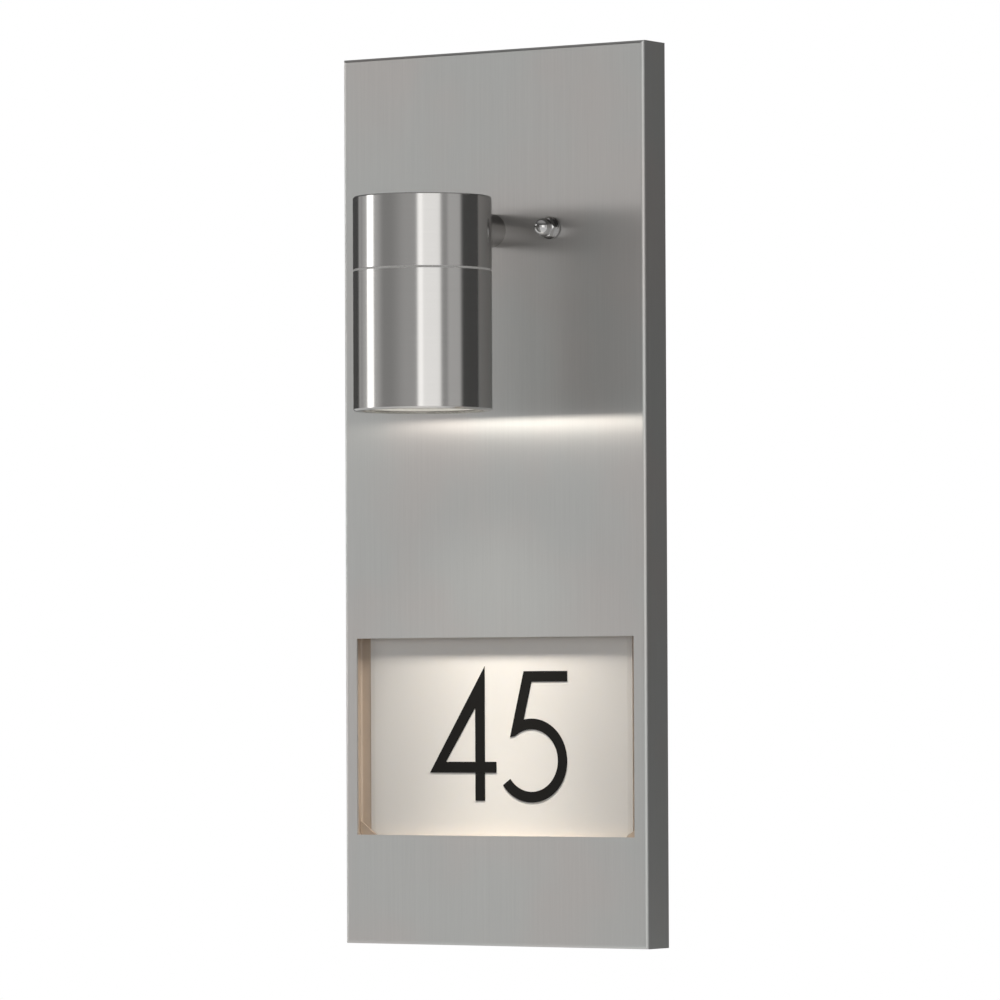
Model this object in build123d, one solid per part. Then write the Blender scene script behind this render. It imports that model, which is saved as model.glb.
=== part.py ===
from build123d import *
import math
import os

# Illuminated house number sign: a folded stainless box cover on a wall bracket, a round spot lamp
# on a short arm that shines down the face, and a recessed number panel in a window below it.
# Millimetres. The wall is the plane Y = 0 and the sign faces -Y. +Z is up and +X is to the right.
# The origin is on the wall, level with the arm, in the middle of the wall-screw pattern.

# ---- driving dimensions: the cover -------------------------------------------------------------
sign_width = 160.0
sign_height = 400.0
box_depth = 18.0                # wall to front face
cover_sheet = 1.0
cover_bend_radius = 1.5         # outside radius of the folded front edges
arm_below_top = 81.0            # top edge of the cover to the arm's axis

# ---- driving dimensions: the number window -----------------------------------------------------
window_side_margin = 6.5        # cover's side to the window's edge
window_height = 88.5
window_above_bottom = 49.0
tray_sheet = 1.0
tray_bend_radius = 1.0          # inside radius of the tray's folds
tray_corner_radius = 3.0        # corners of the tray seen from the front
tray_reveal = 1.6               # tray wall stands this far outside the window's edge
tray_flange_ends = 8.0          # flange welded behind the face, above and below
tray_flange_sides = 2.8
panel_depth = 5.0               # face front to the panel's front
panel_thickness = 1.0
panel_side_gap = 4.0            # window's edge to the panel's side
panel_edge_gap = 0.3            # above and below the panel
panel_bevel_width = 2.4
panel_bevel_depth = 0.35
clip_width = 10.0
clip_height = 7.5
clip_sheet = 0.7
clip_wall_gap = 0.3
clip_foot_gap = 1.1             # beyond the tray's fold radius
clip_corner_cut = 2.0           # clears the tray's round corner
clip_play = 0.6                 # along the panel's rebate for a clip

# ---- driving dimensions: bracket and its screws ------------------------------------------------
bracket_sheet = 2.0
bracket_bar_width = 130.0
bracket_bar_height = 30.0
bracket_corner_radius = 4.0
bracket_lip = 6.0               # folded forward along the bar's top edge
bracket_tongue_width = 44.0
bracket_tongue_drop = 88.0      # arm axis to the tongue's lower end
wall_slot_spacing = 100.0
wall_slot_length = 14.0
wall_slot_width = 5.2
stud_spacing = 63.0
stud_diameter = 5.0             # M5
stud_head_diameter = 8.5
stud_head_depth = 1.2
stud_hole_clearance = 0.25
m5_nut_flats = 8.0
m5_nut_height = 4.0
seal_diameter = 9.6
seal_thickness = 0.5
washer_diameter = 10.0
washer_thickness = 1.0
cap_nut_height = 9.5
cap_nut_hex_height = 4.0
cap_nut_dome_diameter = 7.5
cap_nut_bore_depth = 7.0
nut_chamfer = 0.5

# ---- driving dimensions: arm -------------------------------------------------------------------
arm_diameter = 15.0
nipple_diameter = 10.0          # M10 x 1 hollow threaded tube
nipple_bore = 7.6
nipple_clearance = 0.2
nipple_projection = 1.0         # past each nut
m10_nut_flats = 14.0
m10_nut_height = 3.0
lock_washer_diameter = 16.0
lock_washer_thickness = 0.8
saddle_diameter = 15.0
saddle_thickness = 2.4          # at its middle

# ---- driving dimensions: spot head -------------------------------------------------------------
head_diameter = 61.0
head_offset = 56.0              # face front to the head's axis
head_above_arm = 11.5
holder_below_arm = 8.2          # with the lamp's length, this gives the head's height
cap_height = 31.8               # head's top to the seam
cap_top_thickness = 2.5
head_wall = 1.5
seam_gap = 1.0
seam_inset = 0.45               # gasket edge behind the head's surface
spigot_length = 8.0
spigot_wall = 1.6
spigot_clearance = 0.08
head_edge_chamfer = 0.5
sleeve_edge_chamfer = 0.8
sleeve_lip_width = 2.4
sleeve_lip_thickness = 1.2
glass_thickness = 3.0
glass_clearance = 0.3
glass_gasket_thickness = 1.0
ring_thickness = 1.2
ring_width = 1.8
ring_gap_angle = 24.0

# ---- driving dimensions: lamp and its holder ---------------------------------------------------
lamp_diameter = 50.0            # GU10 reflector lamp
lamp_body_length = 46.0         # front glass to the top of the base
lamp_above_ring = 1.6
lamp_rim_height = 3.0
lamp_reflector_height = 31.0
lamp_bowl_steps = 4             # straight runs that make up the bowl's curve
lamp_neck_diameter = 25.0
lamp_base_diameter = 29.0
lamp_base_shoulder = 5.0
lamp_glass_wall = 1.4
lamp_lens_thickness = 1.6
lamp_capsule_diameter = 9.0
lamp_capsule_length = 17.0
lamp_capsule_tip = 3.0
pin_spacing = 10.0
pin_diameter = 5.0
pin_length = 6.8
pin_neck_diameter = 3.4
pin_neck_length = 2.8
holder_diameter = 31.0
holder_height = 20.0
holder_gap = 0.3                # lamp base to holder
holder_slot_clearance = 0.3     # all round a pin's neck
holder_entry_clearance = 0.5    # all round a pin's head
holder_taper_height = 8.0
holder_taper = 2.0
lamp_turn = 40.0                # degrees from locked to released
strap_sheet = 1.0
strap_depth = 26.0
strap_span = 26.0               # between the strap's legs
strap_ear = 8.0
strap_lead_hole = 6.0
m3_diameter = 3.0
m3_head_diameter = 5.5
m3_head_height = 2.0
m3_bite = 1.8                   # blind hole in the cap's top
holder_screw_spacing = 19.0
holder_screw_inset = 0.4        # screw's tip inside the holder's plate

# ---- driving dimensions: wiring ----------------------------------------------------------------
lead_diameter = 2.0
lead_side_offset = 1.7          # each lead's distance from the middle of the nipple
lead_bend_radius = 4.0
lead_run_above_block = 6.0
lead_run_below_arm = 12.0       # where the two leads have come together
block_pitch = 10.0
block_poles = 3
block_length = 18.0             # along the wires
block_depth = 11.0
block_below_arm = 30.0
block_end_wall = 1.5
block_ridge_width = 8.4
barrel_diameter = 5.0
barrel_bore = 2.8
barrel_inset = 1.5
block_screw_diameter = 3.0
block_screw_well = 4.0
block_screw_from_end = 4.5
block_screw_recess = 2.0        # screw top below the ridge
block_fixing_diameter = 3.0
block_fixing_head_diameter = 4.0
block_fixing_head_height = 1.5
block_fixing_clearance = 0.15
earth_screw_across = 19.0
earth_screw_below_arm = 8.0
earth_screw_diameter = 4.0
earth_screw_head_diameter = 7.5
earth_screw_head_height = 2.4
tag_diameter = 8.0
tag_thickness = 0.8
tag_barrel_length = 6.0
tag_barrel_diameter = 3.2
tag_barrel_gap = 1.0            # ring's edge to barrel
tag_neck_width = 3.0
lead_strip_length = 2.0         # lead's end inside the tag's barrel
earth_lead_run = 3.0            # straight run at each end
earth_lead_bend_radius = 2.4
cable_hole_below_arm = 68.0
cable_hole_diameter = 13.0
cable_bore = 8.0
grommet_flange_diameter = 18.0
grommet_flange_thickness = 1.5
grommet_nose = 2.0
grommet_nose_wall = 2.0

# ---- cutting tools run this far past what they cut ----------------------------------------------
over = 1.0

# ---- places worked out from the driving dimensions ---------------------------------------------
face_y = -box_depth
face_back_y = face_y + cover_sheet
top_z = arm_below_top
bottom_z = top_z - sign_height
window_width = sign_width - 2 * window_side_margin
window_z0 = bottom_z + window_above_bottom
window_z1 = window_z0 + window_height
window_mid_z = (window_z0 + window_z1) / 2

panel_y0 = face_y + panel_depth
panel_y1 = panel_y0 + panel_thickness
panel_width = window_width - 2 * panel_side_gap
rebate_y = panel_y0 + panel_bevel_depth
tray_half_x = window_width / 2 + tray_reveal
tray_half_z = window_height / 2 + tray_reveal
panel_height = 2 * (tray_half_z - tray_bend_radius - panel_edge_gap)

head_y = face_y - head_offset
head_radius = head_diameter / 2
head_bore = head_radius - head_wall
head_z1 = head_above_arm
seam_z1 = head_z1 - cap_height
seam_z0 = seam_z1 - seam_gap
spigot_radius = head_bore - spigot_clearance
cap_ceiling_z = head_z1 - cap_top_thickness

# down the head: holder, lamp, ring, glass, gasket, lip
holder_z1 = -holder_below_arm
holder_z0 = holder_z1 - holder_height
lamp_z1 = holder_z0 - holder_gap
holder_plate_z = lamp_z1 + pin_neck_length - holder_slot_clearance
lamp_z0 = lamp_z1 - lamp_body_length
glass_z1 = lamp_z0 - lamp_above_ring - ring_thickness
glass_z0 = glass_z1 - glass_thickness
glass_radius = head_bore - glass_clearance
lip_z = glass_z0 - glass_gasket_thickness
head_z0 = lip_z - sleeve_lip_thickness
reflector_top_z = lamp_z0 + lamp_reflector_height

saddle_y = head_y + head_bore - saddle_thickness
front_nut_y = saddle_y - m10_nut_height
nipple_y0 = front_nut_y - nipple_projection
lock_washer_y = face_back_y + lock_washer_thickness
rear_nut_y = lock_washer_y + m10_nut_height
nipple_y1 = rear_nut_y + nipple_projection

block_y1 = -bracket_sheet
block_y0 = block_y1 - block_depth
wire_y = (block_y0 + block_y1) / 2
block_z1 = -block_below_arm
block_z0 = block_z1 - block_length
block_width = block_poles * block_pitch + 2 * block_end_wall
lead_down_y = nipple_y1 + lead_bend_radius + nipple_projection
lead_drop_y = head_y + lead_bend_radius
lead_end_z = holder_z1 - lead_bend_radius
tag_barrel_y = -bracket_sheet - tag_barrel_diameter / 2
tag_barrel_z1 = -earth_screw_below_arm - tag_diameter / 2 - tag_barrel_gap
tag_barrel_z0 = tag_barrel_z1 - tag_barrel_length


def block(x0, x1, y0, y1, z0, z1):
    """A box between two corners."""
    middle = ((x0 + x1) / 2, (y0 + y1) / 2, (z0 + z1) / 2)
    return Pos(*middle) * Box(abs(x1 - x0), abs(y1 - y0), abs(z1 - z0))


def rod_y(diameter, y0, y1, x=0.0, z=0.0):
    """A round bar along Y."""
    return Pos(x, (y0 + y1) / 2, z) * Rot(90, 0, 0) * Cylinder(diameter / 2, abs(y1 - y0))


def rod_z(diameter, z0, z1, x=0.0, y=0.0):
    """A round bar along Z."""
    return Pos(x, y, (z0 + z1) / 2) * Cylinder(diameter / 2, abs(z1 - z0))


def hex_y(flats, y0, y1, x=0.0, z=0.0):
    """A hexagonal bar along Y, a flat on top."""
    outline = RegularPolygon(flats / 2, 6, major_radius=False)
    bar = extrude(Plane.XZ * outline, abs(y1 - y0))
    return Pos(x, max(y0, y1), z) * bar


def turned(points, y=0.0):
    """A solid turned about a vertical axis, from (radius, height) points."""
    outline = Polyline(*[(r, 0, z) for r, z in points], close=True)
    return Pos(0, y, 0) * revolve(make_face(outline), Axis.Z)


def turned_y(points, x=0.0, z=0.0):
    """A solid turned about an axis along Y, from (radius, y) points."""
    outline = Polyline(*[(r, y, 0) for r, y in points], close=True)
    return Pos(x, 0, z) * revolve(make_face(outline), Axis.Y)


def slab_y(width, height, y0, y1, z, corner):
    """A plate seen from the front as a rectangle with round corners."""
    outline = RectangleRounded(width, height, corner)
    return Pos(0, max(y0, y1), z) * extrude(Plane.XZ * outline, abs(y1 - y0))


def edges_at_y(part, y):
    """The edges that lie in one plane facing the wall."""
    return part.edges().filter_by_position(Axis.Y, y - 0.001, y + 0.001)


def both_sides(spacing):
    """The X of a left and right pair."""
    return (-spacing / 2, spacing / 2)


# ---- cover and number window -------------------------------------------------------------------
def front_cover():
    """The folded box: face, four returns, window, two screw holes and the arm's hole."""
    half = sign_width / 2
    outside = block(-half, half, face_y, 0, bottom_z, top_z)
    outside = fillet(edges_at_y(outside, face_y), cover_bend_radius)
    inner = half - cover_sheet
    inside = block(-inner, inner, face_back_y, over, bottom_z + cover_sheet, top_z - cover_sheet)
    inside = fillet(edges_at_y(inside, face_back_y), max(cover_bend_radius - cover_sheet, 0.1))
    window = block(-window_width / 2, window_width / 2, face_y - over, face_back_y + over,
                   window_z0, window_z1)
    cover = outside - inside - window
    for x in both_sides(stud_spacing):
        cover -= rod_y(stud_diameter + 2 * stud_hole_clearance, face_y - over, face_back_y + over, x)
    cover -= rod_y(nipple_diameter + 2 * nipple_clearance, face_y - over, face_back_y + over)
    return cover


def number_tray():
    """The shallow folded tray behind the window, with the flange that is welded to the face."""
    floor_back = panel_y1 + tray_sheet
    skin = 2 * tray_sheet
    wide = 2 * tray_half_x
    high = 2 * tray_half_z
    outer_fold = tray_bend_radius + tray_sheet
    cup = slab_y(wide + skin, high + skin, face_back_y, floor_back, window_mid_z,
                 tray_corner_radius + tray_sheet)
    cup = fillet(edges_at_y(cup, floor_back), outer_fold)
    flange = slab_y(wide + 2 * tray_flange_sides, high + 2 * tray_flange_ends, face_back_y,
                    face_back_y + tray_sheet, window_mid_z, tray_corner_radius)
    hollow = slab_y(wide, high, face_back_y, panel_y1, window_mid_z, tray_corner_radius)
    hollow = fillet(edges_at_y(hollow, panel_y1), tray_bend_radius)
    tray = cup + flange - hollow
    mouth = [e for e in edges_at_y(tray, face_back_y)
             if abs(e.center().X) < tray_half_x + 0.1
             and abs(e.center().Z - window_mid_z) < tray_half_z + 0.1]
    return fillet(mouth, tray_sheet)


def clip_outline(side, y, play=0.0):
    """The three-cornered outline over one lower corner of the panel; side is -1 or 1."""
    wall_x = tray_half_x - clip_wall_gap
    low = window_mid_z - tray_half_z + panel_edge_gap
    cut = clip_corner_cut - play
    return make_face(Polyline((side * wall_x, y, low + cut), (side * (wall_x - cut), y, low),
                              (side * (wall_x - clip_width - play), y, low),
                              (side * wall_x, y, low + clip_height + play), close=True))


def number_panel():
    """The white carrier for stick-on numerals: bevelled sides, a rebate under each clip."""
    half = panel_width / 2
    outline = Polyline((-half, panel_y1), (half, panel_y1), (half, rebate_y),
                       (half - panel_bevel_width, panel_y0),
                       (panel_bevel_width - half, panel_y0), (-half, rebate_y), close=True)
    sheet = extrude(make_face(outline), panel_height)
    sheet = Pos(0, 0, window_mid_z - panel_height / 2) * sheet
    for side in (-1, 1):
        sheet -= extrude(clip_outline(side, rebate_y - over, clip_play), over, dir=(0, 1, 0))
    return sheet


def corner_clip(side):
    """A clip that holds one lower corner of the panel; its foot stands beside the panel."""
    plate = extrude(clip_outline(side, rebate_y - clip_sheet), clip_sheet, dir=(0, 1, 0))
    foot_outer = tray_half_x - tray_bend_radius - clip_foot_gap
    foot_inner = panel_width / 2 + panel_edge_gap
    foot_low = window_mid_z - tray_half_z + tray_bend_radius + clip_foot_gap
    wall_x = tray_half_x - clip_wall_gap
    lean = clip_height * (wall_x - foot_inner) / clip_width
    foot_high = window_mid_z - tray_half_z + panel_edge_gap + clip_height - lean
    foot = block(side * foot_inner, side * foot_outer, rebate_y, panel_y1, foot_low, foot_high)
    return plate + foot


def panel_corner_clips():
    return Compound([corner_clip(-1), corner_clip(1)])


# ---- bracket, its screws and nuts --------------------------------------------------------------
def wall_bracket():
    """The flat T-shaped plate on the wall: bar with slots and screw holes, tongue for the wiring."""
    half_bar = bracket_bar_height / 2
    bar = slab_y(bracket_bar_width, bracket_bar_height, -bracket_sheet, 0, 0, bracket_corner_radius)
    tongue_mid = (half_bar - bracket_tongue_drop - bracket_bar_height / 2) / 2
    tongue = slab_y(bracket_tongue_width, bracket_tongue_drop, -bracket_sheet, 0, tongue_mid,
                    bracket_corner_radius)
    lip_half = bracket_bar_width / 2 - bracket_corner_radius
    lip = block(-lip_half, lip_half, -bracket_lip, 0, half_bar - bracket_sheet, half_bar)
    lip_fold = lip.edges().filter_by(Axis.X).sort_by(Axis.Y)[-2:].sort_by(Axis.Z)[-1:]
    lip = fillet(lip_fold, bracket_sheet / 2)
    plate = bar + tongue + lip
    for x in both_sides(wall_slot_spacing):
        slot = SlotOverall(wall_slot_length, wall_slot_width)
        plate -= Pos(x, over, 0) * extrude(Plane.XZ * slot, bracket_sheet + 2 * over)
    for x in both_sides(stud_spacing):
        plate -= rod_y(stud_diameter, -bracket_sheet - over, over, x)
        plate -= rod_y(stud_head_diameter, -stud_head_depth, over, x)
    plate -= rod_y(cable_hole_diameter, -bracket_sheet - over, over, 0, -cable_hole_below_arm)
    plate -= rod_y(earth_screw_diameter, -bracket_sheet - over, over, earth_screw_across,
                   -earth_screw_below_arm)
    return plate


def bracket_screw(x):
    """One M5 screw from behind the bracket, its head let into the plate."""
    tip = face_y - seal_thickness - washer_thickness - cap_nut_bore_depth + nut_chamfer
    return (rod_y(stud_diameter, tip, -stud_head_depth, x)
            + rod_y(stud_head_diameter, -stud_head_depth, 0, x))


def bracket_screws():
    return Compound([bracket_screw(x) for x in both_sides(stud_spacing)])


def plain_nut(flats, height, bore, y_back, x=0.0):
    """A hexagon nut whose back face is at y_back; its corners are chamfered in front."""
    front = y_back - height
    corner = flats / math.sqrt(3)
    nut = hex_y(flats, front, y_back, x)
    cone = turned_y([(0, y_back), (corner, y_back), (corner, front + nut_chamfer),
                     (corner - nut_chamfer * 2, front), (0, front)], x)
    return (nut & cone) - rod_y(bore, front - over, y_back + over, x)


def screw_lock_nuts():
    """The nuts that hold the two screws in the bracket."""
    return Compound([plain_nut(m5_nut_flats, m5_nut_height, stud_diameter, -bracket_sheet, x)
                     for x in both_sides(stud_spacing)])


def disc_pair(diameter, y0, y1):
    """Two flat rings on the screws."""
    return Compound([rod_y(diameter, y0, y1, x) - rod_y(stud_diameter, y0 - over, y1 + over, x)
                     for x in both_sides(stud_spacing)])


def screw_seals():
    return disc_pair(seal_diameter, face_y - seal_thickness, face_y)


def screw_washers():
    seal_front = face_y - seal_thickness
    return disc_pair(washer_diameter, seal_front - washer_thickness, seal_front)


def cap_nut(x):
    """One domed cap nut with its blind bore."""
    base = face_y - seal_thickness - washer_thickness
    hex_end = base - cap_nut_hex_height
    tip = base - cap_nut_height
    dome = cap_nut_dome_diameter / 2
    corner = m5_nut_flats / math.sqrt(3)
    hexagon = hex_y(m5_nut_flats, hex_end, base, x)
    cone = turned_y([(0, base), (corner - nut_chamfer, base), (corner, base - nut_chamfer),
                     (corner, hex_end + nut_chamfer), (corner - nut_chamfer, hex_end),
                     (0, hex_end)], x)
    knob = rod_y(2 * dome, tip + dome, base, x) + Pos(x, tip + dome, 0) * Sphere(dome)
    bore = rod_y(stud_diameter, base - cap_nut_bore_depth, base + over, x)
    return (hexagon & cone) + knob - bore


def cap_nuts():
    return Compound([cap_nut(x) for x in both_sides(stud_spacing)])


# ---- arm ---------------------------------------------------------------------------------------
def head_core(radius):
    """The head's round outline as a tall bar, for cutting saddles."""
    return rod_z(2 * radius, head_z0 - over, head_z1 + over, 0, head_y)


def spot_arm():
    """The round arm between face and head, saddle-cut to the head."""
    arm = rod_y(arm_diameter, head_y, face_y) - head_core(head_radius)
    return arm - rod_y(nipple_diameter + 2 * nipple_clearance, head_y - over, face_y + over)


def arm_nipple():
    """The hollow threaded tube that clamps cover, arm and head together and carries the leads."""
    bore = rod_y(nipple_bore, nipple_y0 - over, nipple_y1 + over)
    return rod_y(nipple_diameter, nipple_y0, nipple_y1) - bore


def arm_rear_nut():
    nut = plain_nut(m10_nut_flats, m10_nut_height, nipple_diameter, m10_nut_height)
    return Pos(0, rear_nut_y, 0) * Rot(0, 0, 180) * nut


def arm_lock_washer():
    ring = rod_y(lock_washer_diameter, face_back_y, lock_washer_y)
    return ring - rod_y(nipple_diameter, face_back_y - over, lock_washer_y + over)


def arm_front_nut():
    return plain_nut(m10_nut_flats, m10_nut_height, nipple_diameter, saddle_y)


def arm_saddle_washer():
    """The washer inside the head, round on one side to sit in the cap's wall."""
    pad = rod_y(saddle_diameter, saddle_y, head_y + head_bore) & head_core(head_bore)
    return pad - rod_y(nipple_diameter, saddle_y - over, head_y + head_bore + over)


# ---- spot head ---------------------------------------------------------------------------------
def spot_cap():
    """The fixed upper housing: closed top, side hole for the arm, spigot for the sleeve."""
    spigot_z = seam_z0 - spigot_length
    edge = head_edge_chamfer
    shell = turned([(0, head_z1), (head_radius - edge, head_z1), (head_radius, head_z1 - edge),
                    (head_radius, seam_z1), (spigot_radius, seam_z1), (spigot_radius, spigot_z),
                    (spigot_radius - spigot_wall, spigot_z), (spigot_radius - spigot_wall, seam_z1),
                    (head_bore, seam_z1 + spigot_wall), (head_bore, cap_ceiling_z),
                    (0, cap_ceiling_z)], head_y)
    shell -= rod_y(nipple_diameter + 2 * nipple_clearance, head_y + head_bore / 2, face_y)
    for x in both_sides(strap_span + strap_ear):
        shell -= rod_z(m3_diameter, cap_ceiling_z - over, cap_ceiling_z + m3_bite, x, head_y)
    return shell


def seam_gasket():
    """The pale flat ring that shows as a thin line round the head."""
    outer = head_radius - seam_inset
    return turned([(spigot_radius, seam_z0), (outer, seam_z0), (outer, seam_z1),
                   (spigot_radius, seam_z1)], head_y)


def spot_sleeve():
    """The removable lower tube, with the lip that carries the glass."""
    edge = sleeve_edge_chamfer
    lip_radius = head_bore - sleeve_lip_width
    return turned([(head_bore, seam_z0), (head_radius, seam_z0), (head_radius, head_z0 + edge),
                   (head_radius - edge, head_z0), (lip_radius, head_z0), (lip_radius, lip_z),
                   (head_bore, lip_z)], head_y)


def glass_gasket():
    inner = head_bore - sleeve_lip_width
    return turned([(inner, lip_z), (glass_radius, lip_z), (glass_radius, glass_z0),
                   (inner, glass_z0)], head_y)


def front_glass():
    return rod_z(2 * glass_radius, glass_z0, glass_z1, 0, head_y)


def glass_retaining_ring():
    """The open flat ring that is sprung into the sleeve above the glass."""
    inner = head_bore - ring_width
    top = glass_z1 + ring_thickness
    section = Polyline((inner, 0, glass_z1), (head_bore, 0, glass_z1), (head_bore, 0, top),
                       (inner, 0, top), close=True)
    ring = revolve(make_face(section), Axis.Z, revolution_arc=360 - ring_gap_angle)
    return Pos(0, head_y, 0) * Rot(0, 0, ring_gap_angle / 2) * ring


# ---- lamp and holder ---------------------------------------------------------------------------
def bowl_outline(inset):
    """Radius and height points of the reflector's bowl, inset millimetres inside its surface."""
    rim = lamp_diameter / 2 - inset
    neck = lamp_neck_diameter / 2 - inset
    rim_z = lamp_z0 + lamp_rim_height
    bowl = []
    for i in range(lamp_bowl_steps + 1):
        turn = math.radians(90) * i / lamp_bowl_steps
        radius = neck + (rim - neck) * math.cos(turn)
        bowl.append((radius, rim_z + (reflector_top_z - rim_z) * math.sin(turn)))
    return [(rim, lamp_z0)] + bowl


def lamp_reflector():
    """The lamp's glass bowl, open at the front and at the neck."""
    return turned(bowl_outline(0) + bowl_outline(lamp_glass_wall)[::-1], head_y)


def lamp_lens():
    """The lamp's own front disc, inside its rim."""
    return rod_z(lamp_diameter - 2 * lamp_glass_wall, lamp_z0, lamp_z0 + lamp_lens_thickness, 0,
                 head_y)


def lamp_base():
    """The ceramic base: a wide shoulder over the bowl's neck and a round body under the pins."""
    neck = lamp_neck_diameter / 2
    base = lamp_base_diameter / 2
    shoulder_z = reflector_top_z + lamp_base_shoulder
    return turned([(0, reflector_top_z), (base, reflector_top_z), (base, shoulder_z),
                   (neck, shoulder_z + (base - neck)), (neck, lamp_z1), (0, lamp_z1)], head_y)


def lamp_pin(x):
    """One contact pin: thin neck, wide head."""
    neck_z = lamp_z1 + pin_neck_length
    neck = rod_z(pin_neck_diameter, lamp_z1, neck_z, x, head_y)
    return neck + rod_z(pin_diameter, neck_z, lamp_z1 + pin_length, x, head_y)


def lamp_pins():
    return Compound([lamp_pin(x) for x in both_sides(pin_spacing)])


def lamp_capsule():
    """The small burner in the middle of the reflector, seated in the base."""
    radius = lamp_capsule_diameter / 2
    tip_z = reflector_top_z - lamp_capsule_length
    return turned([(0, tip_z), (radius - lamp_capsule_tip / 2, tip_z),
                   (radius, tip_z + lamp_capsule_tip), (radius, reflector_top_z),
                   (0, reflector_top_z)], head_y)


def pin_way(start, width, z0, z1):
    """The curved way of one lamp pin, from locked to released."""
    path = CenterArc((0, 0), pin_spacing / 2, start, lamp_turn)
    return Pos(0, head_y, z0) * extrude(SlotArc(path, width), z1 - z0)


def holder_screw_holes(z0, z1):
    left, right = both_sides(holder_screw_spacing)
    return (rod_z(m3_diameter, z0 - over, z1 + over, 0, head_y + left)
            + rod_z(m3_diameter, z0 - over, z1 + over, 0, head_y + right))


def holder_plate():
    """The ceramic plate under the holder: keyhole ways that let a pin's head in and then hold it."""
    plate = rod_z(holder_diameter, holder_z0, holder_plate_z, 0, head_y)
    neck_width = pin_neck_diameter + 2 * holder_slot_clearance
    for start in (0, 180):
        plate -= pin_way(start, neck_width, holder_z0 - over, holder_plate_z + over)
        enter = math.radians(start + lamp_turn)
        plate -= rod_z(pin_diameter + 2 * holder_entry_clearance, holder_z0 - over,
                       holder_plate_z + over, pin_spacing / 2 * math.cos(enter),
                       head_y + pin_spacing / 2 * math.sin(enter))
    return plate - holder_screw_holes(holder_z0, holder_plate_z)


def lamp_holder():
    """The ceramic holder: curved ways for the heads of the lamp's pins, lead and screw holes."""
    radius = holder_diameter / 2
    body = turned([(0, holder_plate_z), (radius, holder_plate_z),
                   (radius, holder_z1 - holder_taper_height),
                   (radius - holder_taper, holder_z1), (0, holder_z1)], head_y)
    roof_z = lamp_z1 + pin_length + holder_slot_clearance
    for start in (0, 180):
        body -= pin_way(start, pin_diameter + 2 * holder_entry_clearance, holder_plate_z - over,
                        roof_z)
    for x in both_sides(2 * lead_side_offset):
        body -= rod_z(lead_diameter, lead_end_z, holder_z1 + over, x, lead_drop_y)
    return body - holder_screw_holes(holder_plate_z, holder_z1)


def holder_strap():
    """The bent strip that hangs the holder from the cap's top."""
    low = holder_z1
    high = cap_ceiling_z
    leg = strap_span / 2
    ear = leg + strap_ear
    outer = leg + strap_sheet
    under_ear = high - strap_sheet
    floor = low + strap_sheet
    outline = Polyline((-ear, 0, high), (-ear, 0, under_ear), (-outer, 0, under_ear),
                       (-outer, 0, low), (outer, 0, low), (outer, 0, under_ear),
                       (ear, 0, under_ear), (ear, 0, high), (leg, 0, high), (leg, 0, floor),
                       (-leg, 0, floor), (-leg, 0, high), close=True)
    strip = extrude(make_face(outline), strap_depth, dir=(0, 1, 0))
    strip = Pos(0, head_y - strap_depth / 2, 0) * strip
    strip -= rod_z(strap_lead_hole, low - over, floor + over, 0, lead_drop_y)
    strip -= holder_screw_holes(low, floor)
    for x in both_sides(strap_span + strap_ear):
        strip -= rod_z(m3_diameter, under_ear - over, high + over, x, head_y)
    return strip


def small_screw(x, y, seat_z, tip_z):
    """An M3 screw along Z: its head is on the side of seat_z away from tip_z."""
    away = 1 if seat_z > tip_z else -1
    head = rod_z(m3_head_diameter, seat_z, seat_z + away * m3_head_height, x, y)
    return head + rod_z(m3_diameter, seat_z, tip_z, x, y)


def holder_screws():
    seat = holder_z1 + strap_sheet
    return Compound([small_screw(0, head_y + y, seat, holder_z0 + holder_screw_inset)
                     for y in both_sides(holder_screw_spacing)])


def strap_screws():
    seat = cap_ceiling_z - strap_sheet
    return Compound([small_screw(x, head_y, seat, cap_ceiling_z + m3_bite)
                     for x in both_sides(strap_span + strap_ear)])


# ---- wiring ------------------------------------------------------------------------------------
def lead(points, radius):
    """A wire along straight runs joined by tangent arcs."""
    path = FilletPolyline(*points, radius=radius)
    start = Plane(path @ 0, z_dir=path % 0)
    return sweep(start * Circle(lead_diameter / 2), path=path)


def lamp_lead(pole_x, side):
    """One lamp lead: from its pole up behind the face, through the nipple, down into the holder."""
    x = side * lead_side_offset
    return lead([(pole_x, wire_y, block_z1 - barrel_inset),
                 (pole_x, wire_y, block_z1 + lead_run_above_block),
                 (x, lead_down_y, -lead_run_below_arm), (x, lead_down_y, 0), (x, lead_drop_y, 0),
                 (x, lead_drop_y, lead_end_z)], lead_bend_radius)


def live_lead():
    return lamp_lead(-block_pitch, -1)


def neutral_lead():
    return lamp_lead(0.0, 1)


def earth_lead():
    """From the third pole to the tag on the bracket."""
    return lead([(block_pitch, wire_y, block_z1 - barrel_inset),
                 (block_pitch, wire_y, block_z1 + earth_lead_run),
                 (earth_screw_across, tag_barrel_y, tag_barrel_z0 - earth_lead_run),
                 (earth_screw_across, tag_barrel_y, tag_barrel_z0 + lead_strip_length)],
                earth_lead_bend_radius)


def earth_tag():
    """The ring tag under the earth screw, with its crimped barrel."""
    x = earth_screw_across
    z = -earth_screw_below_arm
    back = -bracket_sheet
    front = back - tag_thickness
    half_neck = tag_neck_width / 2
    tag = rod_y(tag_diameter, front, back, x, z)
    tag += block(x - half_neck, x + half_neck, front, back, tag_barrel_z0, z)
    tag += rod_z(tag_barrel_diameter, tag_barrel_z0, tag_barrel_z1, x, tag_barrel_y)
    tag -= rod_y(earth_screw_diameter, front - over, back + over, x, z)
    return tag - rod_z(lead_diameter, tag_barrel_z0 - over, tag_barrel_z0 + lead_strip_length, x,
                       tag_barrel_y)


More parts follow.
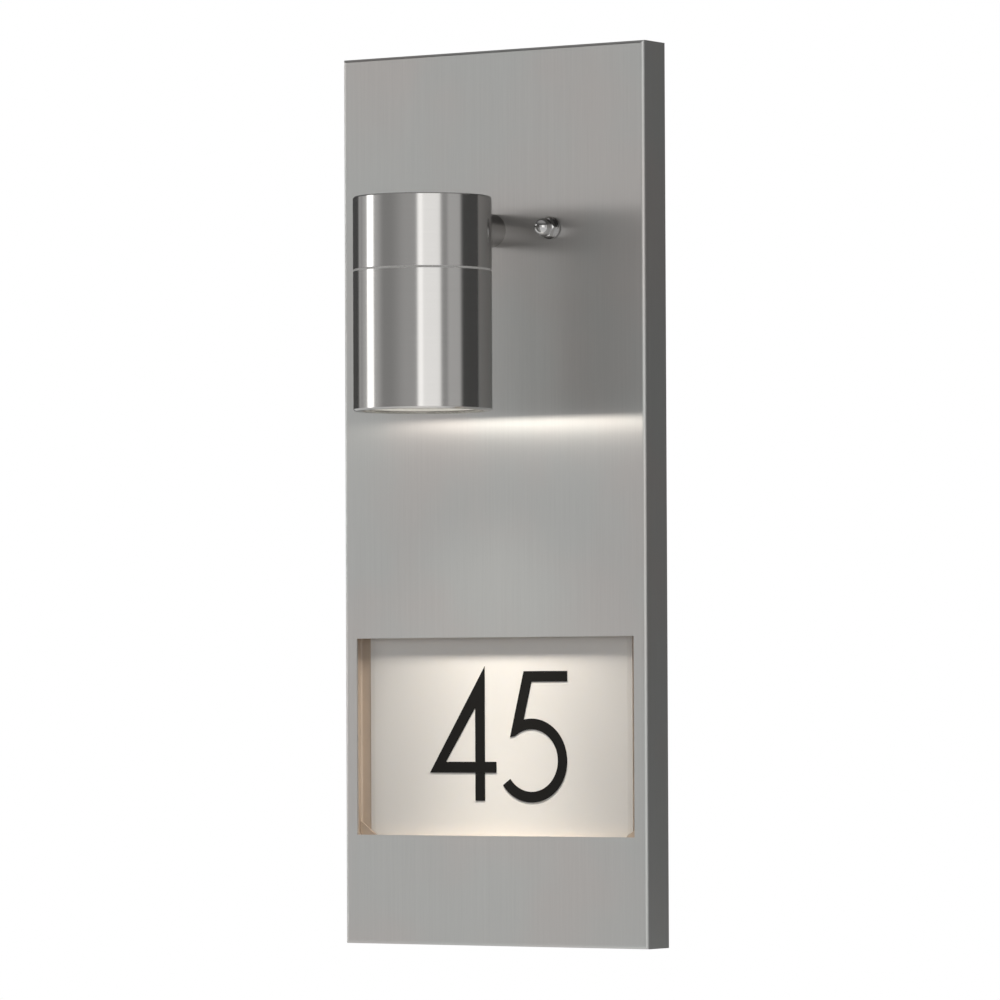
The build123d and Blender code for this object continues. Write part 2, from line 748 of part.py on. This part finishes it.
def earth_screw():
    x = earth_screw_across
    z = -earth_screw_below_arm
    seat = -bracket_sheet - tag_thickness
    return (rod_y(earth_screw_diameter, seat, 0, x, z)
            + rod_y(earth_screw_head_diameter, seat - earth_screw_head_height, seat, x, z))


def pole_positions():
    """The X of each pole of the terminal block."""
    first = -block_pitch * (block_poles - 1) / 2
    return [first + block_pitch * i for i in range(block_poles)]


def screw_rows():
    """The Z of the two rows of clamping screws."""
    return (block_z1 - block_screw_from_end, block_z0 + block_screw_from_end)


def terminal_block():
    """The three-pole block: a ridge over each pole, wells for the screws."""
    half = block_width / 2
    half_ridge = block_ridge_width / 2
    middle = (block_z0 + block_z1) / 2
    body = block(-half, half, wire_y, block_y1, block_z0, block_z1)
    for x in pole_positions():
        body += block(x - half_ridge, x + half_ridge, block_y0, wire_y, block_z0, block_z1)
    for x in pole_positions():
        body -= rod_z(barrel_diameter, block_z0 - over, block_z1 + over, x, wire_y)
        for z in screw_rows():
            body -= rod_y(block_screw_well, block_y0 - over, wire_y, x, z)
    for x in both_sides(block_pitch):
        hole = block_fixing_diameter + 2 * block_fixing_clearance
        well = block_fixing_head_diameter + 2 * block_fixing_clearance
        body -= rod_y(hole, block_y0 - over, block_y1 + over, x, middle)
        body -= rod_y(well, block_y0 - over, wire_y, x, middle)
    return body


def terminal_barrels():
    """The brass barrels that join the wires of each pole."""
    barrels = []
    for x in pole_positions():
        barrel = rod_z(barrel_diameter, block_z0 + barrel_inset, block_z1 - barrel_inset, x, wire_y)
        barrel -= rod_z(barrel_bore, block_z0, block_z1, x, wire_y)
        for z in screw_rows():
            barrel -= rod_y(block_screw_diameter, block_y0, wire_y, x, z)
        barrels.append(barrel)
    return Compound(barrels)


def terminal_screws():
    """The clamping screws, one at each end of every pole."""
    screws = []
    for x in pole_positions():
        for z in screw_rows():
            screws.append(rod_y(block_screw_diameter, block_y0 + block_screw_recess,
                                wire_y - lead_diameter / 2, x, z))
    return Compound(screws)


def terminal_block_screws():
    """The two screws that hold the block on the tongue."""
    middle = (block_z0 + block_z1) / 2
    head_y0 = wire_y - block_fixing_head_height
    screws = []
    for x in both_sides(block_pitch):
        shank = rod_y(block_fixing_diameter, wire_y, block_y1, x, middle)
        screws.append(shank + rod_y(block_fixing_head_diameter, head_y0, wire_y, x, middle))
    return Compound(screws)


def cable_grommet():
    """The bush in the tongue that the house wiring comes through."""
    bore = cable_bore / 2
    barrel = cable_hole_diameter / 2
    flange = grommet_flange_diameter / 2
    plate = -bracket_sheet
    rim = plate - grommet_flange_thickness
    nose = rim - grommet_nose
    return turned_y([(bore, 0), (barrel, 0), (barrel, plate), (flange, plate), (flange, rim),
                     (bore + grommet_nose_wall, nose), (bore, nose)], 0, -cable_hole_below_arm)


builders = [
    wall_bracket, bracket_screws, screw_lock_nuts, front_cover, screw_seals, screw_washers,
    cap_nuts, number_tray, number_panel, panel_corner_clips, spot_arm, arm_nipple, arm_rear_nut,
    arm_lock_washer, arm_front_nut, arm_saddle_washer, spot_cap, seam_gasket, spot_sleeve,
    glass_gasket, front_glass, glass_retaining_ring, lamp_reflector, lamp_lens, lamp_base,
    lamp_pins, lamp_capsule, holder_plate, lamp_holder, holder_strap, holder_screws,
    strap_screws, live_lead, neutral_lead, earth_lead, earth_tag, earth_screw, terminal_block,
    terminal_barrels, terminal_screws, terminal_block_screws, cable_grommet,
]

os.makedirs("parts", exist_ok=True)
for builder in builders:
    export_step(builder(), os.path.join("parts", builder.__name__ + ".step"))
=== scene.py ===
import math

import bmesh
import bpy
from mathutils import Matrix, Vector


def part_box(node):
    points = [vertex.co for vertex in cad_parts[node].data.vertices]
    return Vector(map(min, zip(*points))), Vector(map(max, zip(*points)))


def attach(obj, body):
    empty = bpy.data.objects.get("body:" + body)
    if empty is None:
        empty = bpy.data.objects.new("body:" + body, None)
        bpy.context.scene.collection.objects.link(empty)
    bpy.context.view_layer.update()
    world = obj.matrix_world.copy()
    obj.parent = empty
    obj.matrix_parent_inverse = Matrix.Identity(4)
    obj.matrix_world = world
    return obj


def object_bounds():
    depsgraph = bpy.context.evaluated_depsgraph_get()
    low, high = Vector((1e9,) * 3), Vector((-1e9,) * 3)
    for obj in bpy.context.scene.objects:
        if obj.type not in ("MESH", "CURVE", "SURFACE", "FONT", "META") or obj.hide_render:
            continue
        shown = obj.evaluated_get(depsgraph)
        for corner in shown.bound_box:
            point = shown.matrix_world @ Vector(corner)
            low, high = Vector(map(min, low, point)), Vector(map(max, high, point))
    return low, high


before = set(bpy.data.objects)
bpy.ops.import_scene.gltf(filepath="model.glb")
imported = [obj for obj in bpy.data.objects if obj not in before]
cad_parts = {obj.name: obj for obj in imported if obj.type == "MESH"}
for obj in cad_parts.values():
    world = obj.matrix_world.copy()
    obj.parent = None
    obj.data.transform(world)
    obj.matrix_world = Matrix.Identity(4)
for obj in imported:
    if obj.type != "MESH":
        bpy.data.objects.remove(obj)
cad_low, cad_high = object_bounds()

# ---- places read from the frame (metres) -------------------------------------------------------
panel_low, panel_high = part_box("number_panel")
sleeve_low, sleeve_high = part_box("spot_sleeve")
cap_low, cap_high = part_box("spot_cap")
lens_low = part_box("lamp_lens")[0]
cover_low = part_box("front_cover")[0]
panel_front = panel_low.y
panel_middle_z = (panel_low.z + panel_high.z) / 2
head_y = (cap_low.y + cap_high.y) / 2

# ---- camera: the photo's view ------------------------------------------------------------------
view_yaw = 32.85                # degrees to the sign's right
view_pitch = 1.726              # degrees, looking up
view_roll = -0.237              # degrees
view_distance = 2.841
view_target = Vector((0.00391, cover_low.y, -0.12033))
sensor_width = 36.0             # millimetres, as the lens
lens_length = 229.4

# ---- numerals (metres) -------------------------------------------------------------------------
figure_thickness = 0.0003
figure_edge = 0.00005           # rounding of a figure's edges
figure_edge_steps = 2
figure_baseline = panel_middle_z - 0.0287
figure_stroke = 0.0051
four_x = -0.0078                # right side of the 4's stem
five_x = 0.0169                 # middle of the 5's bowl
bowl_steps = 60
flat_within = 1e-7

# ---- lamp --------------------------------------------------------------------------------------
spot_warm = (1.0, 0.93, 0.84)
lamp_beams = ((104.0, 2.9), (54.0, 4.2))    # full angle in degrees, power
beam_shift = Vector((0.003, 0.007, 0.0))    # from the lens's middle to the right and to the wall
beam_radius = 0.021
beam_below_lens = 0.001
lamp_spill = 0.075              # power of the thin light that streaks the brushed face
spill_width = 0.16
spill_below_sleeve = 0.0003
lamp_glow = 1.6

# ---- studio ------------------------------------------------------------------------------------
# soft boxes round the sign: from and to in degrees about Z, softness, strength
studio_boxes = (
    (-160.5, -147.0, 3.5, 2.4),             # narrow strip, far left
    (-176.0, -132.0, 9.0, 0.22),
    (-190.0, 12.0, 4.0, 0.21),              # pale wall
    (-98.0, -20.0, 16.0, 0.13),
    (-64.0, -56.0, 2.0, 0.32),
    (-65.0, -26.0, 3.0, 0.72),              # large box in front
    (-14.0, 10.0, 3.0, 0.22),
    (171.0, 181.0, 2.0, 0.34),
)
boxes_from, boxes_to, boxes_soft = -0.32, 0.36, 0.12    # sines of the angle above level
ceiling_from, ceiling_to = 0.5, 0.95
ceiling_glow = 0.22
room_glow = 0.075
second_bounce = 0.35            # share of the studio's light left where metal shows metal
studio_tint = (1.0, 0.99, 0.975, 1.0)
white = (1.0, 1.0, 1.0, 1.0)

floor_drop = 0.4                # floor below the sign
floor_radius = 5.0
floor_corners = 96
floor_seen = 0.82               # glow that makes the floor white to the camera
floor_mirrored = 0.4            # and the glow that metal shows of it


# ---- node helpers ------------------------------------------------------------------------------
class Nodes:
    """A short way to write a node tree."""

    def __init__(self, tree):
        self.tree = tree
        self.tree.nodes.clear()

    def add(self, kind, inputs=None, **settings):
        node = self.tree.nodes.new(kind)
        for key, value in settings.items():
            setattr(node, key, value)
        for key, value in (inputs or {}).items():
            self.put(node.inputs[key], value)
        return node

    def put(self, socket, value):
        if isinstance(value, bpy.types.NodeSocket):
            self.tree.links.new(value, socket)
        else:
            socket.default_value = value

    def math(self, operation, a, b=0.0, c=0.0):
        node = self.add("ShaderNodeMath", operation=operation)
        for socket, value in zip(node.inputs, (a, b, c)):
            self.put(socket, value)
        return node.outputs[0]

    def vector(self, operation, a, b):
        return self.add("ShaderNodeVectorMath", {0: a, 1: b}, operation=operation).outputs[0]

    def place(self):
        """The point on the piece, in metres."""
        return self.add("ShaderNodeTexCoord").outputs["Object"]

    def split(self, vector):
        return self.add("ShaderNodeSeparateXYZ", {0: vector}).outputs

    def join(self, **axes):
        return self.add("ShaderNodeCombineXYZ", axes).outputs[0]

    def mix(self, factor, a, b):
        node = self.add("ShaderNodeMix", data_type="RGBA")
        self.put(node.inputs[0], factor)
        self.put(node.inputs[6], a)
        self.put(node.inputs[7], b)
        return node.outputs[2]

    def smooth(self, value, low, high):
        """0 below low, 1 above high, smooth between."""
        node = self.add("ShaderNodeMapRange", {"Value": value, "From Min": low, "From Max": high},
                        interpolation_type="SMOOTHSTEP")
        return node.outputs["Result"]

    def band(self, value, low, high, soft):
        """1 between low and high, with soft edges."""
        rise = self.smooth(value, low - soft, low + soft)
        fall = self.smooth(value, high - soft, high + soft)
        return self.math("SUBTRACT", rise, fall)

    def noise(self, vector, scale, detail=2.0, roughness=0.5):
        node = self.add("ShaderNodeTexNoise", {"Vector": vector, "Scale": scale, "Detail": detail,
                                               "Roughness": roughness})
        return node.outputs["Fac"]

    def grooves(self, place, density):
        """A 0..1 pattern of grooves; density says how closely they lie along each axis."""
        return self.noise(self.vector("MULTIPLY", place, density), 1.0, 3.0)

    def cells(self, place, scale):
        return self.add("ShaderNodeTexVoronoi", {"Vector": place, "Scale": scale}).outputs["Distance"]

    def around(self, value, centre, spread):
        """A number near centre that follows a 0..1 pattern by plus or minus spread."""
        return self.math("MULTIPLY_ADD", value, 2 * spread, centre - spread)

    def shade(self, colour, amount, pattern):
        """A colour that a 0..1 pattern makes lighter and darker."""
        dark = [c * (1 - amount) for c in colour] + [1.0]
        light = [min(1.0, c * (1 + amount)) for c in colour] + [1.0]
        return self.mix(pattern, dark, light)

    def bump(self, shader, height, strength, depth):
        """Raises the shader's surface by a 0..1 pattern, depth in metres."""
        node = self.add("ShaderNodeBump", {"Strength": strength, "Distance": depth, "Height": height})
        self.put(shader.inputs["Normal"], node.outputs[0])

    def surface(self, output, first, second, share):
        """Shows one shader, or a second one by its share."""
        blend = self.add("ShaderNodeMixShader",
                         {0: share, 1: first.outputs[0], 2: second.outputs[0]})
        self.put(output.inputs["Surface"], blend.outputs[0])


def principled(name, **sockets):
    """A new material with one Principled shader; returns material, nodes, shader."""
    material = bpy.data.materials.new(name)
    material.use_nodes = True
    nodes = Nodes(material.node_tree)
    shader = nodes.add("ShaderNodeBsdfPrincipled")
    output = nodes.add("ShaderNodeOutputMaterial")
    nodes.put(output.inputs["Surface"], shader.outputs[0])
    for key, value in sockets.items():
        nodes.put(shader.inputs[key.replace("_", " ")], value)
    return material, nodes, shader


# ---- metals ------------------------------------------------------------------------------------
def brushed_sheet():
    """The cover: upright grain, soft sideways reflections, faint warm and cool clouds."""
    material, nodes, shader = principled("brushed_sheet", Metallic=0.93, Anisotropic=0.9)
    place = nodes.place()
    xyz = nodes.split(place)
    normal = nodes.add("ShaderNodeNewGeometry").outputs["Normal"]
    lying = nodes.math("ABSOLUTE", nodes.split(normal)["Z"])
    upright = nodes.math("SUBTRACT", 1.0, lying)
    across = nodes.math("ADD", xyz["X"], nodes.math("MULTIPLY", xyz["Y"], upright))
    sheet_place = nodes.join(X=across, Z=xyz["Z"])
    fine = nodes.grooves(sheet_place, (5200.0, 0.0, 45.0))
    wide = nodes.grooves(sheet_place, (900.0, 0.0, 9.0))
    grain = nodes.math("ADD", nodes.math("MULTIPLY", fine, 0.6), nodes.math("MULTIPLY", wide, 0.4))
    cloud = nodes.smooth(nodes.noise(place, 16.0), 0.35, 0.65)
    warm = nodes.shade((0.71, 0.69, 0.675), 0.09, grain)
    cool = nodes.shade((0.69, 0.70, 0.69), 0.09, grain)
    nodes.put(shader.inputs["Base Color"], nodes.mix(cloud, cool, warm))
    nodes.put(shader.inputs["Roughness"], nodes.around(grain, 0.32, 0.05))
    grain_along = nodes.join(Y=lying, Z=upright)
    nodes.put(shader.inputs["Tangent"], nodes.vector("CROSS_PRODUCT", grain_along, normal))
    nodes.bump(shader, grain, 0.12, 0.00002)
    return material


def turned_steel():
    """The spot head: fine grooves round the tube, crisp upright bands."""
    material, nodes, shader = principled("turned_steel", Metallic=1.0)
    place = nodes.place()
    groove = nodes.grooves(place, (18.0, 18.0, 4200.0))
    smear = nodes.noise(place, 90.0, 3.0)
    nodes.put(shader.inputs["Base Color"], nodes.shade((0.63, 0.622, 0.612), 0.05, groove))
    rough = nodes.math("ADD", nodes.around(groove, 0.13, 0.03), nodes.around(smear, 0.0, 0.02))
    nodes.put(shader.inputs["Roughness"], rough)
    nodes.bump(shader, groove, 0.08, 0.00002)
    return material


def arm_steel():
    """The arm: the same steel with grooves round its own axis."""
    material, nodes, shader = principled("arm_steel", Metallic=1.0)
    groove = nodes.grooves(nodes.place(), (40.0, 4200.0, 40.0))
    nodes.put(shader.inputs["Base Color"], nodes.shade((0.58, 0.572, 0.56), 0.06, groove))
    nodes.put(shader.inputs["Roughness"], nodes.around(groove, 0.2, 0.04))
    nodes.bump(shader, groove, 0.1, 0.00002)
    return material


def blotched_metal(name, colour, roughness, spread, blotch=260.0, metallic=1.0):
    """Polished, plated or matt metal with faint clouding and hairlines."""
    material, nodes, shader = principled(name, Metallic=metallic)
    place = nodes.place()
    cloud = nodes.noise(place, blotch, 4.0, 0.6)
    scratch_place = nodes.add("ShaderNodeMapping", {"Vector": place, "Scale": (2600.0, 300.0, 300.0),
                                                    "Rotation": (0.3, 0.5, 0.9)})
    scratch = nodes.noise(scratch_place.outputs[0], 1.0)
    nodes.put(shader.inputs["Base Color"], nodes.shade(colour, 0.06, cloud))
    rough = nodes.math("ADD", nodes.around(cloud, roughness, spread),
                       nodes.around(scratch, 0.0, spread / 2))
    nodes.put(shader.inputs["Roughness"], rough)
    nodes.bump(shader, scratch, 0.05, 0.00002)
    return material


# ---- plastics, rubber, ceramic -----------------------------------------------------------------
def grained_plastic(name, colour, roughness, scale, depth):
    """Moulded plastic, rubber or ceramic with a fine surface grain."""
    material, nodes, shader = principled(name)
    place = nodes.place()
    grain = nodes.noise(place, scale, 4.0, 0.6)
    cloud = nodes.noise(place, scale / 12)
    nodes.put(shader.inputs["Base Color"], nodes.shade(colour, 0.04, cloud))
    nodes.put(shader.inputs["Roughness"], nodes.around(grain, roughness, 0.08))
    nodes.bump(shader, grain, 0.25, depth)
    return material


def figure_black():
    """The numerals' matt black film."""
    material = grained_plastic("figure_black", (0.012, 0.0115, 0.011), 0.7, 2600.0, 0.00002)
    shader = material.node_tree.nodes["Principled BSDF"]
    shader.inputs["Specular IOR Level"].default_value = 0.1
    return material


def panel_acrylic():
    """Satin white acrylic: slightly deep, with a very fine satin texture."""
    material, nodes, shader = principled("panel_acrylic", Subsurface_Weight=0.15,
                                         Subsurface_Radius=(0.002, 0.0018, 0.0015),
                                         Subsurface_Scale=0.5)
    place = nodes.place()
    satin = nodes.noise(place, 3500.0)
    haze = nodes.noise(place, 22.0)
    nodes.put(shader.inputs["Base Color"], nodes.shade((0.87, 0.845, 0.815), 0.012, haze))
    nodes.put(shader.inputs["Roughness"], nodes.around(satin, 0.42, 0.06))
    nodes.bump(shader, satin, 0.08, 0.00001)
    return material


def striped_lead():
    """Green insulation with yellow stripes along it."""
    material, nodes, shader = principled("lead_green_yellow", Roughness=0.4)
    wave = nodes.add("ShaderNodeTexWave", {"Vector": nodes.place(), "Scale": 500.0,
                                           "Distortion": 0.6}, bands_direction="X")
    stripe = nodes.smooth(wave.outputs["Fac"], 0.4, 0.6)
    green, yellow = (0.05, 0.25, 0.06, 1.0), (0.80, 0.68, 0.05, 1.0)
    nodes.put(shader.inputs["Base Color"], nodes.mix(stripe, green, yellow))
    return material


# ---- glass and light-giving pieces -------------------------------------------------------------
def clear_glass():
    """Clear glass that lets the lamp's light through without noise."""
    material, nodes, shader = principled("front_glass", Roughness=0.0, IOR=1.47,
                                         Transmission_Weight=1.0)
    shader.inputs["Base Color"].default_value = (0.97, 0.985, 0.98, 1.0)
    clear = nodes.add("ShaderNodeBsdfTransparent", {"Color": (0.95, 0.96, 0.955, 1.0)})
    path = nodes.add("ShaderNodeLightPath").outputs
    passes = nodes.math("MAXIMUM", path["Is Shadow Ray"], path["Is Diffuse Ray"])
    passes = nodes.math("MAXIMUM", passes, path["Is Glossy Ray"])
    output = next(n for n in nodes.tree.nodes if n.type == "OUTPUT_MATERIAL")
    nodes.surface(output, shader, clear, passes)
    return material


def lit_glass(name):
    """The lamp's front disc and burner, glowing warm."""
    material, nodes, shader = principled(name, Roughness=0.35)
    dimple = nodes.cells(nodes.place(), 420.0)
    shader.inputs["Base Color"].default_value = (0.9, 0.88, 0.84, 1.0)
    shader.inputs["Emission Color"].default_value = (*spot_warm, 1.0)
    glow = nodes.math("MULTIPLY_ADD", dimple, -0.35 * lamp_glow, lamp_glow)
    nodes.put(shader.inputs["Emission Strength"], glow)
    nodes.bump(shader, dimple, 0.3, 0.0003)
    return material


def lamp_mirror():
    """The reflector's silvered bowl with its small facets."""
    material, nodes, shader = principled("lamp_mirror", Metallic=1.0, Roughness=0.12)
    facet = nodes.cells(nodes.place(), 260.0)
    nodes.put(shader.inputs["Base Color"], nodes.shade((0.82, 0.81, 0.79), 0.05, facet))
    nodes.bump(shader, facet, 0.25, 0.0004)
    return material


# ---- numerals ----------------------------------------------------------------------------------
def arc(x, z, radius, start, end):
    """Points of an arc in the sign's face, angles in degrees from +X towards +Z."""
    points = []
    for i in range(bowl_steps + 1):
        turn = math.radians(start + (end - start) * i / bowl_steps)
        points.append((x + radius * math.cos(turn), z + radius * math.sin(turn)))
    return points


def figure_four(x):
    """A plain 4 whose stem's right side is at x; heights are above the baseline."""
    height = 0.0601
    bar_z = 0.0125
    bar_top = bar_z + 0.0049
    bar_end = x + 0.0061
    stem = x - figure_stroke
    tip = x - 0.0294
    hole_tip = x - 0.0209
    hole_top = bar_top + 0.0242
    outside = [(x, 0.0), (x, bar_z), (bar_end, bar_z), (bar_end, bar_top), (x, bar_top),
               (x, height), (tip, bar_z), (stem, bar_z), (stem, 0.0)]
    hole = [(hole_tip, bar_top), (stem, bar_top), (stem, hole_top)]
    return [outside, hole]


def figure_five(x):
    """A plain 5 whose bowl's middle is at x; heights are above the baseline."""
    height = 0.0578
    bar_under = height - 0.0047
    bar_end = x + 0.0189
    outer = 0.0187
    inner = outer - figure_stroke + 0.0003
    middle = outer - 0.0007
    neck_top = x - 0.0040
    neck_inside = x + 0.0001
    neck_foot = (x - 0.0113, middle + 0.0104)
    join = math.degrees(math.acos(-0.0041 / outer))     # where the bowl's outside meets the neck
    leave = 128.0                                       # and its inside
    end = -144.0
    outline = [(bar_end, height), (bar_end, bar_under), (neck_inside, bar_under)]
    outline += arc(x, middle, outer, join, end)
    outline += arc(x, middle, inner, end, leave)
    outline += [neck_foot, (neck_top, height)]
    return [outline]


def even_faces(mesh):
    """Turns the edges inside a flat figure's two faces, so that no triangle there has zero area."""
    shape = bmesh.new()
    shape.from_mesh(mesh)
    bmesh.ops.triangulate(shape, faces=shape.faces[:])
    flat = [face for face in shape.faces
            if all(abs(abs(corner.co.z) - figure_thickness / 2) < flat_within
                   for corner in face.verts)]
    inner = [edge for edge in shape.edges if all(face in flat for face in edge.link_faces)]
    bmesh.ops.beautify_fill(shape, faces=flat, edges=inner, method="AREA")
    shape.to_mesh(mesh)
    shape.free()


def make_figure(name, outlines, material):
    """One flat numeral stuck on the panel."""
    curve = bpy.data.curves.new(name, "CURVE")
    curve.dimensions = "2D"
    curve.fill_mode = "BOTH"
    curve.extrude = figure_thickness / 2 - figure_edge
    curve.bevel_depth = figure_edge
    curve.bevel_resolution = figure_edge_steps
    curve.offset = -figure_edge
    for points in outlines:
        spline = curve.splines.new("POLY")
        spline.points.add(len(points) - 1)
        for point, (x, z) in zip(spline.points, points):
            point.co = (x, z + figure_baseline, 0.0, 1.0)
        spline.use_cyclic_u = True
    flat = bpy.data.objects.new(name + "_outline", curve)
    bpy.context.scene.collection.objects.link(flat)
    bpy.context.view_layer.update()
    mesh = bpy.data.meshes.new_from_object(flat)
    bpy.data.objects.remove(flat)
    even_faces(mesh)
    stand_up = Matrix.Translation((0.0, panel_front - figure_thickness / 2, 0.0))
    mesh.transform(stand_up @ Matrix.Rotation(math.radians(90.0), 4, "X"))
    mesh.materials.clear()
    mesh.materials.append(material)
    figure = bpy.data.objects.new(name, mesh)
    bpy.context.scene.collection.objects.link(figure)
    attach(figure, "sign")


# ---- camera, world, lights, floor --------------------------------------------------------------
def place_camera():
    """The camera that took the photo."""
    yaw = math.radians(view_yaw)
    pitch = math.radians(view_pitch)
    roll = math.radians(view_roll)
    ahead = Vector((-math.sin(yaw) * math.cos(pitch), math.cos(yaw) * math.cos(pitch),
                    math.sin(pitch)))
    level = Vector((math.cos(yaw), math.sin(yaw), 0.0))
    above = level.cross(ahead)
    right = math.cos(roll) * level + math.sin(roll) * above
    up = -math.sin(roll) * level + math.cos(roll) * above
    data = bpy.data.cameras.new("camera")
    data.sensor_width = sensor_width
    data.lens = lens_length
    camera = bpy.data.objects.new("camera", data)
    turn = Matrix((right, up, -ahead)).transposed().to_4x4()
    camera.matrix_world = Matrix.Translation(view_target - view_distance * ahead) @ turn
    bpy.context.scene.collection.objects.link(camera)
    bpy.context.scene.camera = camera


def studio_world():
    """A plain studio: white to the camera, soft boxes and dark corners in the metal."""
    world = bpy.data.worlds.new("studio")
    bpy.context.scene.world = world
    world.use_nodes = True
    nodes = Nodes(world.node_tree)
    xyz = nodes.split(nodes.add("ShaderNodeTexCoord").outputs["Generated"])
    azimuth = nodes.math("MULTIPLY", nodes.math("ARCTAN2", xyz["Y"], xyz["X"]), 180 / math.pi)
    glow = 0.0
    for low, high, soft, strength in studio_boxes:
        box = nodes.math("MULTIPLY", nodes.band(azimuth, low, high, soft), strength)
        glow = nodes.math("ADD", glow, box)
    glow = nodes.math("MULTIPLY", glow, nodes.band(xyz["Z"], boxes_from, boxes_to, boxes_soft))
    ceiling = nodes.math("MULTIPLY", nodes.smooth(xyz["Z"], ceiling_from, ceiling_to),
                         ceiling_glow)
    glow = nodes.math("ADD", nodes.math("ADD", glow, ceiling), room_glow)
    path = nodes.add("ShaderNodeLightPath").outputs
    second = nodes.math("GREATER_THAN", path["Glossy Depth"], 1.5)
    glow = nodes.math("MULTIPLY", glow,
                      nodes.math("MULTIPLY_ADD", second, second_bounce - 1.0, 1.0))
    studio = nodes.add("ShaderNodeBackground", {"Color": studio_tint, "Strength": glow})
    plain = nodes.add("ShaderNodeBackground", {"Color": white, "Strength": 1.0})
    seen = nodes.math("MAXIMUM", path["Is Camera Ray"], path["Is Transmission Ray"])
    nodes.surface(nodes.add("ShaderNodeOutputWorld"), studio, plain, seen)


def make_floor():
    """A round pale floor under the sign that shows white."""
    mesh = bpy.data.meshes.new("floor")
    turns = [math.tau * i / floor_corners for i in range(floor_corners)]
    ring = [(floor_radius * math.cos(turn), floor_radius * math.sin(turn), cad_low.z - floor_drop)
            for turn in turns]
    mesh.from_pydata(ring, [], [list(range(floor_corners))])
    floor = bpy.data.objects.new("floor", mesh)
    bpy.context.scene.collection.objects.link(floor)
    material, nodes, shader = principled("floor", Roughness=0.9)
    shader.inputs["Base Color"].default_value = (0.85, 0.85, 0.85, 1.0)
    shader.inputs["Emission Color"].default_value = white
    path = nodes.add("ShaderNodeLightPath").outputs
    glow = nodes.math("MAXIMUM", nodes.math("MULTIPLY", path["Is Camera Ray"], floor_seen),
                      nodes.math("MULTIPLY", path["Is Glossy Ray"], floor_mirrored))
    nodes.put(shader.inputs["Emission Strength"], glow)
    mesh.materials.append(material)


def add_lamp_light(kind, name, power, height):
    """One light on the head's axis, shining down."""
    data = bpy.data.lights.new(name, kind)
    data.energy = power
    data.color = spot_warm
    light = bpy.data.objects.new(name, data)
    light.location = Vector((0.0, head_y, height))
    bpy.context.scene.collection.objects.link(light)
    return light


def lamp_light():
    """The lamp: a wide beam, its hot middle, and the spill that streaks the brushed face."""
    for number, (angle, power) in enumerate(lamp_beams):
        light = add_lamp_light("SPOT", "lamp_beam_%d" % number, power,
                               lens_low.z - beam_below_lens)
        light.location += beam_shift
        light.data.spot_size = math.radians(angle)
        light.data.spot_blend = 1.0
        light.data.shadow_soft_size = beam_radius
    spill = add_lamp_light("AREA", "lamp_spill", lamp_spill, sleeve_low.z - spill_below_sleeve)
    spill.data.shape = "ELLIPSE"
    spill.data.size = spill_width
    spill.data.size_y = sleeve_high.y - sleeve_low.y
    spill.visible_camera = False
    spill.visible_diffuse = False
    spill.visible_transmission = False


# ---- dress the frame ---------------------------------------------------------------------------
finishes = (
    (brushed_sheet(), ["front_cover"]),
    (turned_steel(), ["spot_cap", "spot_sleeve"]),
    (arm_steel(), ["spot_arm"]),
    (blotched_metal("tray_steel", (0.62, 0.52, 0.43), roughness=0.5, spread=0.05, blotch=120.0,
                    metallic=0.2),
     ["number_tray", "panel_corner_clips"]),
    (blotched_metal("polished_steel", (0.74, 0.735, 0.73), roughness=0.08, spread=0.03),
     ["cap_nuts", "screw_washers"]),
    (blotched_metal("zinc_plate", (0.62, 0.635, 0.65), roughness=0.27, spread=0.08),
     ["wall_bracket", "bracket_screws", "screw_lock_nuts", "arm_nipple", "arm_rear_nut",
      "arm_lock_washer", "arm_front_nut", "arm_saddle_washer", "holder_strap", "holder_screws",
      "strap_screws", "earth_tag", "earth_screw", "terminal_screws", "terminal_block_screws",
      "glass_retaining_ring"]),
    (blotched_metal("brass", (0.78, 0.60, 0.28), roughness=0.22, spread=0.06),
     ["lamp_pins", "terminal_barrels"]),
    (panel_acrylic(), ["number_panel"]),
    (grained_plastic("black_rubber", (0.03, 0.03, 0.03), roughness=0.62, scale=2200.0,
                     depth=0.00004),
     ["screw_seals", "cable_grommet"]),
    (grained_plastic("pale_gasket", (0.93, 0.92, 0.90), roughness=0.5, scale=1800.0,
                     depth=0.00003),
     ["seam_gasket", "glass_gasket"]),
    (grained_plastic("ceramic", (0.82, 0.80, 0.76), roughness=0.5, scale=1400.0, depth=0.00004),
     ["lamp_base", "holder_plate", "lamp_holder"]),
    (grained_plastic("terminal_plastic", (0.80, 0.80, 0.76), roughness=0.4, scale=1500.0,
                     depth=0.00003),
     ["terminal_block"]),
    (grained_plastic("lead_brown", (0.16, 0.07, 0.03), roughness=0.38, scale=1600.0,
                     depth=0.00002),
     ["live_lead"]),
    (grained_plastic("lead_blue", (0.03, 0.12, 0.45), roughness=0.38, scale=1600.0,
                     depth=0.00002),
     ["neutral_lead"]),
    (striped_lead(), ["earth_lead"]),
    (clear_glass(), ["front_glass"]),
    (lamp_mirror(), ["lamp_reflector"]),
    (lit_glass("lamp_disc"), ["lamp_lens"]),
    (lit_glass("lamp_burner"), ["lamp_capsule"]),
)

for finish, dressed in finishes:
    for node in dressed:
        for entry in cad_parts[node].material_slots:
            entry.material = finish

film = figure_black()
make_figure("numeral_four", figure_four(four_x), film)
make_figure("numeral_five", figure_five(five_x), film)

studio_world()
make_floor()
lamp_light()
place_camera()
bpy.context.scene.view_settings.view_transform = "Standard"
